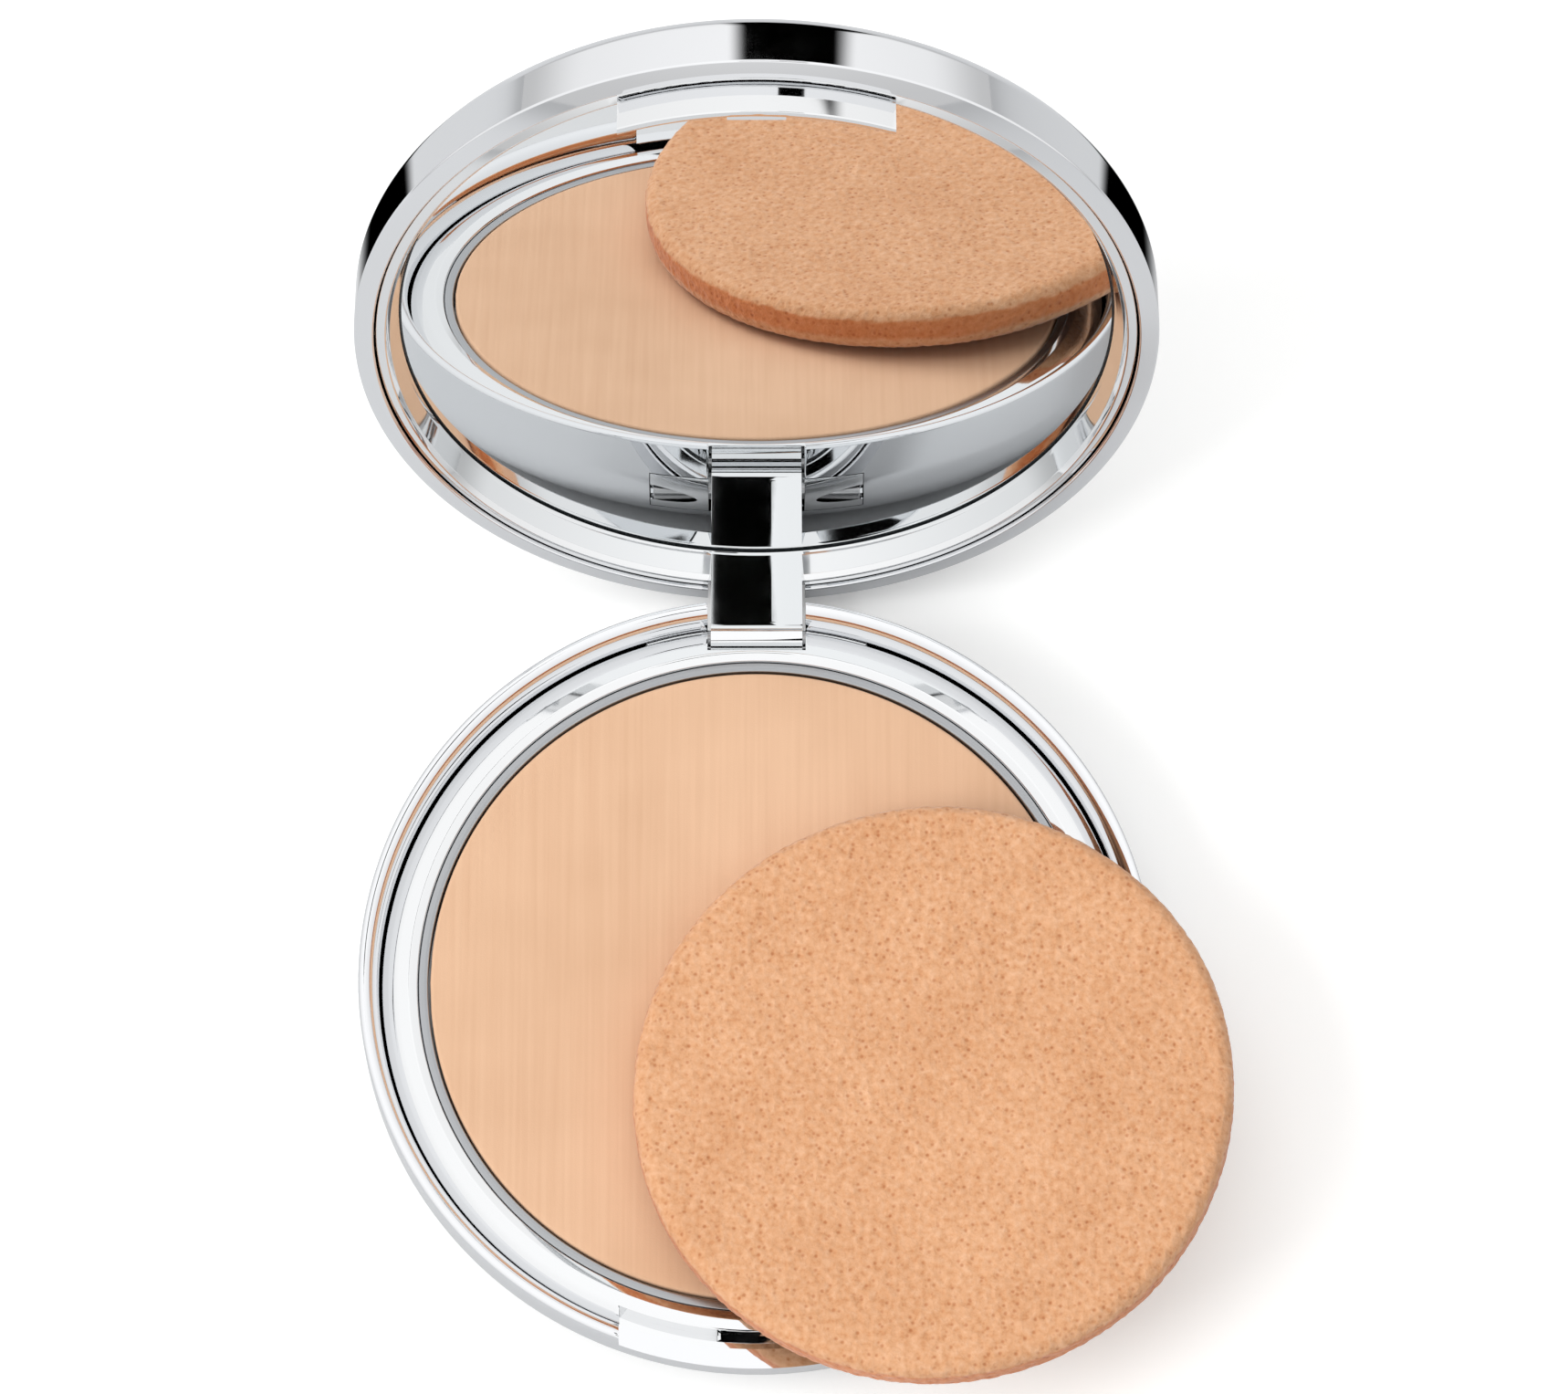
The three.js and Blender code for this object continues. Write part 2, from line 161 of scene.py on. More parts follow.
def makeDrawnAluminium(name):
    material, tree = newMaterial(name)
    coordinates = addNode(tree, "ShaderNodeTexCoord")
    flat = addNode(tree, "ShaderNodeVectorMath", {
        0: coordinates.outputs["Object"], 1: (1, 1, 0)}, operation="MULTIPLY")
    radius = addNode(tree, "ShaderNodeVectorMath", {0: flat.outputs[0]}, operation="LENGTH")
    rings = addNode(tree, "ShaderNodeTexNoise", {
        "W": radius.outputs["Value"], "Scale": 1 / (drawMarks["spacing"] * mm), "Detail": 3.0},
        noise_dimensions="1D")
    tone = addNode(tree, "ShaderNodeValToRGB", {"Fac": rings.outputs["Fac"]}, drawMarks["tones"])
    bump = addNode(tree, "ShaderNodeBump", {
        "Height": rings.outputs["Fac"], "Strength": drawMarks["strength"],
        "Distance": drawMarks["depth"] * mm})
    shader = addNode(tree, "ShaderNodeBsdfPrincipled", {
        "Base Color": tone.outputs["Color"], "Metallic": 1.0, "Roughness": drawMarks["roughness"],
        "Normal": bump.outputs["Normal"]})
    closeMaterial(tree, shader)
    return material


# Pressed face powder: dead matt and even, with faint streaks along the press ribbon, a slow
# drift of tone, and the grain of the milled pigment.
powderLook = {
    "streakSize": 0.55, "streakStretch": (1, 0.02, 1), "streakTones": [(0.3, "dab292"), (0.7, "dfb898")],
    "driftSize": 16, "driftTones": [(0.3, "f4f1ee"), (0.7, "ffffff")],
    "grainSize": 0.12, "grainDepth": 0.03, "grainStrength": 0.3, "roughness": 0.95, "sheen": 0.08,
}


def makePressedPowder(name):
    material, tree = newMaterial(name)
    coordinates = addNode(tree, "ShaderNodeTexCoord")
    streakPattern = addPattern(tree, powderLook["streakStretch"])
    streaks = addNode(tree, "ShaderNodeTexNoise", {
        "Vector": streakPattern.outputs[0], "Scale": 1 / (powderLook["streakSize"] * mm), "Detail": 2.0})
    drift = addNode(tree, "ShaderNodeTexNoise", {
        "Vector": coordinates.outputs["Object"], "Scale": 1 / (powderLook["driftSize"] * mm), "Detail": 2.0})
    grain = addNode(tree, "ShaderNodeTexNoise", {
        "Vector": coordinates.outputs["Object"], "Scale": 1 / (powderLook["grainSize"] * mm), "Detail": 3.0})
    streakTone = addNode(tree, "ShaderNodeValToRGB", {
        "Fac": streaks.outputs["Fac"]}, powderLook["streakTones"])
    driftTone = addNode(tree, "ShaderNodeValToRGB", {"Fac": drift.outputs["Fac"]}, powderLook["driftTones"])
    tone = addNode(tree, "ShaderNodeMix", {
        "Factor": 1.0, 6: streakTone.outputs["Color"], 7: driftTone.outputs["Color"]},
        data_type="RGBA", blend_type="MULTIPLY")
    height = addNode(tree, "ShaderNodeMath", {
        0: grain.outputs["Fac"], 1: streaks.outputs["Fac"]}, operation="ADD")
    bump = addNode(tree, "ShaderNodeBump", {
        "Height": height.outputs[0], "Strength": powderLook["grainStrength"],
        "Distance": powderLook["grainDepth"] * mm})
    shader = addNode(tree, "ShaderNodeBsdfPrincipled", {
        "Base Color": tone.outputs[2], "Roughness": powderLook["roughness"], "IOR": 1.45,
        "Specular IOR Level": 0.15, "Sheen Weight": powderLook["sheen"], "Sheen Roughness": 0.5,
        "Normal": bump.outputs["Normal"]})
    closeMaterial(tree, shader)
    return material


# Open-pored latex foam: soft, matt and mottled, with painted shade that darkens the pit at each pore.
# The upright side wall takes a deeper tone, which is painted shade.
foamLook = {
    "cellSize": 0.62, "cellTones": [(0.3, "cb9268"), (0.43, "d5a077"), (0.56, "daa780"), (0.7, "e0b08b")],
    "pitSize": 0.8, "poreShadeTones": [(0.1, "dcc3b1"), (0.3, "ffffff")], "poreShadeShare": 0.8,
    "mottleSize": 7, "mottleTones": [(0.3, "f6f1ec"), (0.7, "ffffff")], "sideShadeTone": "f1cbaf",
    "poreDepth": 0.2, "poreStrength": 0.55, "roughness": 0.9, "sheen": 0.25,
}


def makeFoam(name):
    material, tree = newMaterial(name)
    pattern = addPattern(tree)
    cells = addNode(tree, "ShaderNodeTexNoise", {
        "Vector": pattern.outputs[0], "Scale": 1 / (foamLook["cellSize"] * mm), "Detail": 2.5,
        "Roughness": 0.55})
    pits = addNode(tree, "ShaderNodeTexVoronoi", {
        "Vector": pattern.outputs[0], "Scale": 1 / (foamLook["pitSize"] * mm), "Randomness": 1.0},
        feature="F1")
    mottle = addNode(tree, "ShaderNodeTexNoise", {
        "Vector": pattern.outputs[0], "Scale": 1 / (foamLook["mottleSize"] * mm), "Detail": 2.0})
    cellTone = addNode(tree, "ShaderNodeValToRGB", {"Fac": cells.outputs["Fac"]}, foamLook["cellTones"])
    # Painted shade: the pits of the pores are darkened.
    poreShadeTone = addNode(tree, "ShaderNodeValToRGB", {"Fac": pits.outputs["Distance"]}, foamLook["poreShadeTones"])
    mottleTone = addNode(tree, "ShaderNodeValToRGB", {"Fac": mottle.outputs["Fac"]}, foamLook["mottleTones"])
    facing = addNode(tree, "ShaderNodeSeparateXYZ", {
        0: addNode(tree, "ShaderNodeTexCoord").outputs["Normal"]})
    upright = addNode(tree, "ShaderNodeMath", {0: facing.outputs["Z"]}, operation="ABSOLUTE")
    # Painted shade: the more upright a face, the deeper its tone.
    sideShade = addNode(tree, "ShaderNodeMapRange", {
        "Value": upright.outputs[0], "From Min": 0.4, "From Max": 0.08}, interpolation_type="SMOOTHSTEP")
    tone = cellTone.outputs["Color"]
    for share, tint in ((foamLook["poreShadeShare"], poreShadeTone.outputs["Color"]),
                        (1.0, mottleTone.outputs["Color"]),
                        (sideShade.outputs["Result"], linear(foamLook["sideShadeTone"]))):
        tone = addNode(tree, "ShaderNodeMix", {
            "Factor": share, 6: tone, 7: tint}, data_type="RGBA", blend_type="MULTIPLY").outputs[2]
    height = addNode(tree, "ShaderNodeMath", {
        0: cells.outputs["Fac"], 1: pits.outputs["Distance"]}, operation="ADD")
    bump = addNode(tree, "ShaderNodeBump", {
        "Height": height.outputs[0], "Strength": foamLook["poreStrength"],
        "Distance": foamLook["poreDepth"] * mm})
    shader = addNode(tree, "ShaderNodeBsdfPrincipled", {
        "Base Color": tone, "Roughness": foamLook["roughness"], "IOR": 1.5,
        "Specular IOR Level": 0.2, "Sheen Weight": foamLook["sheen"], "Sheen Roughness": 0.45,
        "Normal": bump.outputs["Normal"]})
    closeMaterial(tree, shader)
    return material


# A surface with a single pattern, which sets both its tone and its relief.
def makePatterned(name, look):
    material, tree = newMaterial(name)
    pattern = addPattern(tree, look["stretch"])
    grain = addNode(tree, look["texture"], {
        "Vector": pattern.outputs[0], "Scale": 1 / (look["size"] * mm), "Detail": look["detail"]})
    tone = addNode(tree, "ShaderNodeValToRGB", {"Fac": grain.outputs[0]}, look["tones"])
    bump = addNode(tree, "ShaderNodeBump", {
        "Height": grain.outputs[0], "Strength": look["strength"], "Distance": look["depth"] * mm})
    shader = addNode(tree, "ShaderNodeBsdfPrincipled", {
        "Base Color": tone.outputs["Color"], "Metallic": look["metallic"], "Roughness": look["roughness"],
        "IOR": look["ior"], "Normal": bump.outputs["Normal"]})
    closeMaterial(tree, shader)
    return material


# Satin polypropylene label film, blank: a fine emboss breaks its shine.
labelLook = {
    "texture": "ShaderNodeTexNoise", "size": 0.3, "detail": 3.0, "stretch": (1, 1, 1),
    "tones": [(0.3, "eeede8"), (0.7, "f6f5f1")], "strength": 0.2, "depth": 0.02,
    "metallic": 0.0, "roughness": 0.45, "ior": 1.49,
}
# Polyethylene foam tape: chalky closed cells.
tapeLook = {
    "texture": "ShaderNodeTexVoronoi", "size": 0.4, "detail": 0.0, "stretch": (1, 1, 1),
    "tones": [(0.1, "dcd7c9"), (0.6, "ece8dd")], "strength": 0.4, "depth": 0.05,
    "metallic": 0.0, "roughness": 0.85, "ior": 1.5,
}
# Drawn steel wire: fine scratches run along its length.
wireLook = {
    "texture": "ShaderNodeTexNoise", "size": 0.1, "detail": 3.0, "stretch": (0.03, 1, 1),
    "tones": [(0.3, "aaaaab"), (0.7, "c6c6c7")], "strength": 0.3, "depth": 0.01,
    "metallic": 1.0, "roughness": 0.28, "ior": 1.5,
}
# The mirror's margin outside the silvered face: dark, glossy glass, painted shade round the edge.
edgeShadeLook = {
    "texture": "ShaderNodeTexNoise", "size": 0.3, "detail": 3.0, "stretch": (1, 1, 1),
    "tones": [(0.3, "15181a"), (0.7, "2c3032")], "strength": 0.0, "depth": 0.01,
    "metallic": 0.0, "roughness": 0.25, "ior": 1.52,
}

chromePlate = makeChrome("chrome_plated_abs", "e6e7e9", 0.03, 0.04)
chromeMoulding = makeChrome("chrome_plated_inner_moulding", "e6e7e8", 0.04, 0.05)
silveredGlass = makeMirror("silvered_float_glass")
# Painted shade: a dark ring at the mirror's edge.
paintedEdgeShade = makePatterned("mirror_edge_painted_shade", edgeShadeLook)
drawnAluminium = makeDrawnAluminium("deep_drawn_aluminium")
pressedPowder = makePressedPowder("pressed_face_powder")
latexFoam = makeFoam("open_pored_latex_foam")
labelFilm = makePatterned("satin_label_film", labelLook)
foamTape = makePatterned("polyethylene_foam_tape", tapeLook)
steelWire = makePatterned("drawn_steel_wire", wireLook)
print("materials made")


# How finely pieces are turned and rounded, and how their sharp edges are broken.
meshing = {
    "turnSteps": 288, "labelSteps": 192, "barSteps": 96, "cornerSteps": 5, "cornerShare": 0.48,
    "onAxis": 1e-6, "weldMetres": 1e-7, "edge": 0.1, "edgeSegments": 3, "edgeAngle": 40, "sharpAngle": 35,
}


def newObject(name, mesh):
    piece = bpy.data.objects.new(name, mesh)
    bpy.context.scene.collection.objects.link(piece)
    return piece


# Turns a bmesh into a linked object.
def pieceFrom(form, name):
    mesh = bpy.data.meshes.new(name)
    form.to_mesh(mesh)
    form.free()
    return newObject(name, mesh)


# Points of an ellipse arc: 0 degrees is outward and 90 is up.
def arc(centreR, centreZ, halfWidth, halfHeight, fromDeg, toDeg, steps):
    angles = [math.radians(fromDeg + (toDeg - fromDeg) * i / steps) for i in range(steps + 1)]
    return [(centreR + halfWidth * math.cos(t), centreZ + halfHeight * math.sin(t), 0) for t in angles]


# Rounds each (r, z, radius) corner of a closed outline into a short arc.
def filletOutline(corners):
    points = []
    steps = meshing["cornerSteps"]
    share = meshing["cornerShare"]
    for i, (r, z, radius) in enumerate(corners):
        here = Vector((r, z))
        back = Vector(corners[i - 1][:2]) - here
        ahead = Vector(corners[(i + 1) % len(corners)][:2]) - here
        if radius == 0 or back.length == 0 or ahead.length == 0:
            points.append(here)
            continue
        half = back.angle(ahead) / 2
        reach = min(radius / math.tan(half), share * back.length, share * ahead.length)
        centre = here + (back.normalized() + ahead.normalized()).normalized() * (reach / math.cos(half))
        start = here + back.normalized() * reach - centre
        end = here + ahead.normalized() * reach - centre
        sweep = start.angle_signed(end)
        for step in range(steps + 1):
            points.append(centre + Matrix.Rotation(-sweep * step / steps, 2) @ start)
    return points


# Turns an outline of (r, z, radius) corners about Z into a closed mesh.
def turned(name, corners, steps=meshing["turnSteps"]):
    outline = filletOutline(corners)
    around = [2 * math.pi * i / steps for i in range(steps)]
    circle = [(math.cos(t), math.sin(t)) for t in around]
    form = bmesh.new()
    loops = []
    for r, z in outline:
        if r < meshing["onAxis"]:
            loops.append([form.verts.new((0, 0, z * mm))])
        else:
            loops.append([form.verts.new((r * mm * x, r * mm * y, z * mm)) for x, y in circle])
    pairs = list(zip(loops, loops[1:]))
    if outline[0][0] >= meshing["onAxis"]:
        pairs.append((loops[-1], loops[0]))
    for lower, upper in pairs:
        under, over = len(lower), len(upper)
        for i in range(steps):
            j = (i + 1) % steps
            corner = [lower[i % under], lower[j % under], upper[j % over], upper[i % over]]
            unique = list(dict.fromkeys(corner))
            if len(unique) > 2:
                form.faces.new(unique)
    bmesh.ops.remove_doubles(form, verts=form.verts, dist=meshing["weldMetres"])
    bmesh.ops.recalc_face_normals(form, faces=form.faces)
    return pieceFrom(form, name)


# A plain cylinder about Z.
def drum(radius, low, high):
    return turned("drum", [(0, low, 0), (radius, low, 0), (radius, high, 0), (0, high, 0)])


# Block between two corners.
def block(x0, x1, y0, y1, z0, z1):
    form = bmesh.new()
    bmesh.ops.create_cube(form, size=1)
    size = Vector((x1 - x0, y1 - y0, z1 - z0)) * mm
    centre = Vector((x0 + x1, y0 + y1, z0 + z1)) * mm / 2
    shape = Matrix.Translation(centre) @ Matrix.Diagonal((*size, 1))
    bmesh.ops.transform(form, matrix=shape, verts=form.verts)
    return pieceFrom(form, "block")


# Round bar along X on the hinge axis.
def hingeBar(radius, x0, x1):
    form = bmesh.new()
    bmesh.ops.create_cone(form, cap_ends=True, segments=meshing["barSteps"], radius1=radius * mm,
                          radius2=radius * mm, depth=(x1 - x0) * mm)
    place = Matrix.Translation(((x0 + x1) / 2 * mm, hingeY * mm, hingeZ * mm))
    bmesh.ops.transform(form, matrix=place @ Matrix.Rotation(math.pi / 2, 4, "Y"), verts=form.verts)
    return pieceFrom(form, "bar")


# Turns a piece's modifiers into plain mesh.
def settle(piece):
    graph = bpy.context.evaluated_depsgraph_get()
    mesh = bpy.data.meshes.new_from_object(piece.evaluated_get(graph))
    piece.modifiers.clear()
    piece.data = mesh
    return piece


# Cuts the tools from the piece, joins them to it, or keeps what they share.
def combine(piece, operation, *tools):
    for tool in tools:
        step = piece.modifiers.new(operation.lower(), "BOOLEAN")
        step.operation = operation
        step.solver = "MANIFOLD"
        step.object = tool
        settle(piece)
        bpy.data.objects.remove(tool)
    return piece


# Breaks the sharp edges, smooths the rest, and hands the piece to its body.
def finishPiece(piece, name, node, material, place=inPlace, edge=meshing["edge"]):
    piece.name = name
    if edge:
        bevel = piece.modifiers.new("broken edge", "BEVEL")
        bevel.width = edge * mm
        bevel.segments = meshing["edgeSegments"]
        bevel.limit_method = "ANGLE"
        bevel.angle_limit = math.radians(meshing["edgeAngle"])
        settle(piece)
    piece.data.transform(place)
    piece.data.shade_smooth()
    piece.data.set_sharp_from_angle(angle=math.radians(meshing["sharpAngle"]))
    if edge:
        weigh = piece.modifiers.new("flat faces keep their normals", "WEIGHTED_NORMAL")
        weigh.keep_sharp = True
        settle(piece)
    piece.data.name = name
    piece.data.materials.clear()
    piece.data.materials.append(material)
    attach(piece, bodyOf[node])
    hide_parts(node)
    return piece


base = {
    "footRadius": 25, "bandFloor": 8, "floor": 1.5, "innerRadius": 35.1, "deckTop": 8.7,
    "crest": 0.4, "crestFlat": 0.1, "bankStart": 97, "bellySteps": 28, "labelRadius": 17,
    "labelSeat": 0.7, "gap": 0.3, "rearCut": 30, "frontCut": -28, "cutPast": 3,
}
ear = {"outerX": 10.3, "frontY": 31.8, "pocketFloor": 3.8, "pocketTop": 8.4, "gap": 0.08}
lug = {"halfWidth": 4.35, "barrel": 2.05, "back": 36.9, "bow": 33.05, "slotY": 32.6}
notch = {
    "halfWidth": 12.6, "innerRadius": 33.5, "floor": 7.3, "wall": 9.8, "cutY": -20,
    "slotHalfWidth": 3.3, "slotDepth": 0.35, "slotTopDrop": 0.4,
}


# The base's outside curve, from the foot up to the band.
def bellyCurve():
    reach = caseRadius - base["footRadius"]
    return arc(base["footRadius"], base["bandFloor"], reach, base["bandFloor"], -90, 0, base["bellySteps"])


def makeBaseShell():
    innerReach = base["innerRadius"] - base["footRadius"]
    innerDepth = base["bandFloor"] - base["floor"]
    seatRadius = base["labelRadius"] + base["gap"]
    bank = caseRadius - base["crest"] - base["crestFlat"]
    shell = turned("base shell", [
        (0, base["labelSeat"], 0),
        (seatRadius, base["labelSeat"], 0.1),
        (seatRadius, 0, 0.15),
        *bellyCurve(),
        *arc(caseRadius - base["crest"], caseHeight - base["crest"], base["crest"], base["crest"], 0, 90, 8),
        *arc(bank, base["deckTop"], bank - base["innerRadius"], caseHeight - base["deckTop"],
             base["bankStart"], 180, 16),
        *arc(base["footRadius"], base["bandFloor"], innerReach, innerDepth, 0, -90, 16),
        (0, base["floor"], 0),
    ])
    outside = caseRadius + base["cutPast"]
    high = caseHeight + overcut
    earReach = ear["outerX"] + ear["gap"]
    lugReach = lug["halfWidth"] + base["gap"]
    combine(shell, "DIFFERENCE",
            block(-earReach, earReach, base["rearCut"], outside, ear["pocketFloor"], ear["pocketTop"]),
            block(-lugReach, lugReach, base["rearCut"], outside, ear["pocketFloor"], high),
            block(-notch["halfWidth"], notch["halfWidth"], -outside, base["frontCut"], notch["wall"], high))
    return finishPiece(shell, "base_shell_plated", "base_outer_shell", chromePlate)


makeBaseShell()
print("base shell made")


# The inner moulding: pan well, ledge ring, hinge ears and thumb notch.
deck = {
    "wellRadius": 31.55, "wellWall": 1.25, "wellFloor": 5, "floor": 1, "footIn": 1.6, "footUp": 0.4,
    "under": 6.2, "skirtIn": 0.7, "skirtUp": 0.8, "outerRadius": 34.93, "outerTop": 8.9,
    "fall": [(34.3, 9.3, 0.8), (33.6, 9.62, 2.5)], "innerRadius": 32.4, "innerTop": 9.85,
    "lipOut": 0.08, "lipTop": 9.5, "lipFoot": 9.3, "ringInner": 20, "ringOuter": 21.2, "ringLift": 0.2,
    "ringBite": 0.5, "pinHole": 1.1,
}


def makeDeck():
    wall = deck["wellRadius"] + deck["wellWall"]
    under = deck["wellFloor"] - deck["floor"]
    tray = turned("deck", [
        (0, under, 0),
        (wall - deck["footIn"], under, 0.5),
        (wall, deck["wellFloor"] + deck["footUp"], 0.5),
        (wall, deck["under"], 0.2),
        (deck["outerRadius"] - deck["skirtIn"], deck["under"], 0.2),
        (deck["outerRadius"], deck["under"] + deck["skirtUp"], 0.2),
        (deck["outerRadius"], deck["outerTop"], 0.3),
        *deck["fall"],
        (deck["innerRadius"], deck["innerTop"], 0.35),
        (deck["wellRadius"] + deck["lipOut"], deck["lipTop"], 0.12),
        (deck["wellRadius"], deck["lipFoot"], 0.05),
        (deck["wellRadius"], deck["wellFloor"], 0.3),
        (0, deck["wellFloor"], 0),
    ])
    ringLow = base["floor"] + deck["ringLift"]
    ringHigh = deck["wellFloor"] - deck["ringBite"]
    combine(tray, "UNION", turned("foot ring", [
        (deck["ringInner"], ringLow, 0), (deck["ringOuter"], ringLow, 0),
        (deck["ringOuter"], ringHigh, 0), (deck["ringInner"], ringHigh, 0)]))
    inner = lug["halfWidth"] + base["gap"]
    for side in (-1, 1):
        x0, x1 = sorted((side * inner, side * ear["outerX"]))
        web = block(x0, x1, ear["frontY"], caseRadius + overcut,
                    ear["pocketFloor"] + ear["gap"], ear["pocketTop"] - ear["gap"])
        combine(web, "INTERSECT", turned("belly", [
            *bellyCurve(), (caseRadius, caseHeight, 0), (0, caseHeight, 0), (0, 0, 0)]))
        combine(web, "DIFFERENCE", drum(deck["wellRadius"], deck["wellFloor"], caseHeight))
        combine(tray, "UNION", web)
    thumbCut = block(-notch["halfWidth"], notch["halfWidth"], -caseRadius, notch["cutY"],
                     notch["floor"], caseHeight)
    combine(thumbCut, "DIFFERENCE", drum(notch["innerRadius"], 0, caseHeight + overcut))
    slotCut = block(-notch["slotHalfWidth"], notch["slotHalfWidth"], -notch["innerRadius"] - overcut,
                    -notch["innerRadius"] + notch["slotDepth"], notch["floor"],
                    deck["innerTop"] - notch["slotTopDrop"])
    lugSlot = block(-inner, inner, lug["slotY"], caseRadius, 0, caseHeight)
    pinBore = hingeBar(deck["pinHole"], -caseRadius, caseRadius)
    combine(tray, "DIFFERENCE", thumbCut, slotCut, lugSlot, pinBore)
    return finishPiece(tray, "base_deck_plated", "base_deck", chromeMoulding)


makeDeck()
print("deck made")


pan = {"inner": 30.6, "outer": 31.5, "rim": 9.3, "under": 5.8, "wall": 0.4, "floor": 0.5,
       "bead": 0.2, "beadDrop": 0.32, "shoulder": 0.5, "taper": 0.1}
cake = {"radius": 30.4, "top": 9.4, "under": 6.5, "edge": 0.3, "edgeSteps": 5, "columns": 300, "rows": 90,
        "crowding": 0.35, "ribSpacing": 0.7, "ribDepth": 0.012}
pin = {"edge": 0.15}


def makeLabel():
    low, high = (corner.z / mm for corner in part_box("base_label"))
    label = turned("label", [
        (0, low, 0), (base["labelRadius"], low, 0.1), (base["labelRadius"], high, 0.1), (0, high, 0)],
        meshing["labelSteps"])
    return finishPiece(label, "blank_label_film", "base_label", labelFilm, edge=0)


def makePan():
    side = pan["outer"] - pan["bead"]
    floor = pan["under"] + pan["floor"]
    dish = turned("pan", [
        (0, pan["under"], 0),
        (side - pan["shoulder"], pan["under"], 0.4),
        (side, pan["under"] + pan["shoulder"], 0.3),
        (side, pan["rim"] - pan["shoulder"], 0.1),
        (pan["outer"], pan["rim"] - pan["beadDrop"], 0.1),
        (pan["outer"], pan["rim"], 0.12),
        (pan["inner"], pan["rim"], 0.22),
        (side - pan["wall"] - pan["taper"], floor, 0.05),
        (0, floor, 0),
    ])
    return finishPiece(dish, "powder_pan_drawn", "powder_pan", drawnAluminium, edge=0)


# An empty tree with named inputs, and the outputs of its input node.
def newTree(name, sizes):
    tree = bpy.data.node_groups.new(name, "GeometryNodeTree")
    tree.interface.new_socket("Geometry", in_out="INPUT", socket_type="NodeSocketGeometry")
    for label in sizes:
        tree.interface.new_socket(label, in_out="INPUT", socket_type="NodeSocketFloat")
    tree.interface.new_socket("Finish", in_out="INPUT", socket_type="NodeSocketMaterial")
    tree.interface.new_socket("Geometry", in_out="OUTPUT", socket_type="NodeSocketGeometry")
    return tree, addNode(tree, "NodeGroupInput").outputs


# Ends a tree: plain mesh, in its material.
def closeTree(tree, moved, finish):
    whole = addNode(tree, "GeometryNodeRealizeInstances", {"Geometry": moved.outputs[0]})
    finished = addNode(tree, "GeometryNodeSetMaterial", {"Geometry": whole.outputs[0], "Material": finish})
    addNode(tree, "NodeGroupOutput", {"Geometry": finished.outputs[0]})
    return tree


# Tree that presses fine ribs into the top of the cake: they run along Y and fade at the edge.
ribs = {"driftSize": 2.5, "driftStretch": (1, 0.12, 1), "fadeFrom": 0.3, "fadeTo": 1.2, "topTolerance": 0.02}


def makeRibTree():
    tree, given = newTree("press ribs", ("Spacing", "Depth", "Radius", "Top"))
    place = addNode(tree, "GeometryNodeInputPosition")
    axes = addNode(tree, "ShaderNodeSeparateXYZ", {0: place.outputs[0]})
    turns = addNode(tree, "ShaderNodeMath", {0: axes.outputs["X"], 1: given["Spacing"]}, operation="DIVIDE")
    angle = addNode(tree, "ShaderNodeMath", {0: turns.outputs[0], 1: 2 * math.pi}, operation="MULTIPLY")
    wave = addNode(tree, "ShaderNodeMath", {0: angle.outputs[0]}, operation="SINE")
    stretched = addNode(tree, "ShaderNodeVectorMath", {
        0: place.outputs[0], 1: ribs["driftStretch"]}, operation="MULTIPLY")
    drift = addNode(tree, "ShaderNodeTexNoise", {
        "Vector": stretched.outputs[0], "Scale": 1 / (ribs["driftSize"] * mm), "Detail": 2.0})
    mixed = addNode(tree, "ShaderNodeMath", {
        0: wave.outputs[0], 1: drift.outputs["Fac"]}, operation="MULTIPLY")
    flat = addNode(tree, "ShaderNodeVectorMath", {0: place.outputs[0], 1: (1, 1, 0)}, operation="MULTIPLY")
    radius = addNode(tree, "ShaderNodeVectorMath", {0: flat.outputs[0]}, operation="LENGTH")
    inward = addNode(tree, "ShaderNodeMath", {
        0: given["Radius"], 1: radius.outputs["Value"]}, operation="SUBTRACT")
    fade = addNode(tree, "ShaderNodeMapRange", {
        "Value": inward.outputs[0], "From Min": ribs["fadeFrom"] * mm, "From Max": ribs["fadeTo"] * mm})
    onTop = addNode(tree, "ShaderNodeMath", {
        0: axes.outputs["Z"], 1: given["Top"], 2: ribs["topTolerance"] * mm}, operation="COMPARE")
    scaled = addNode(tree, "ShaderNodeMath", {0: mixed.outputs[0], 1: given["Depth"]}, operation="MULTIPLY")
    faded = addNode(tree, "ShaderNodeMath", {
        0: scaled.outputs[0], 1: fade.outputs["Result"]}, operation="MULTIPLY")
    offset = addNode(tree, "ShaderNodeCombineXYZ", {"Z": faded.outputs[0]})
    moved = addNode(tree, "GeometryNodeSetPosition", {
        "Geometry": given["Geometry"], "Selection": onTop.outputs[0], "Offset": offset.outputs[0]})
    return closeTree(tree, moved, given["Finish"])


# Gives a piece a tree and the values of its named inputs, then makes it plain mesh.
def growWith(piece, tree, values):
    step = piece.modifiers.new(tree.name, "NODES")
    step.node_group = tree
    for item in tree.interface.items_tree:
        if item.item_type == "SOCKET" and item.in_out == "INPUT" and item.name in values:
            step[item.identifier] = values[item.name]
    return settle(piece)


# Joins neighbouring rings of as many points with a wall of faces.
def joinRings(form, rings):
    count = len(rings[0])
    for upper, lower in zip(rings, rings[1:]):
        for i in range(count):
            j = (i + 1) % count
            form.faces.new([upper[i], upper[j], lower[j], lower[i]])


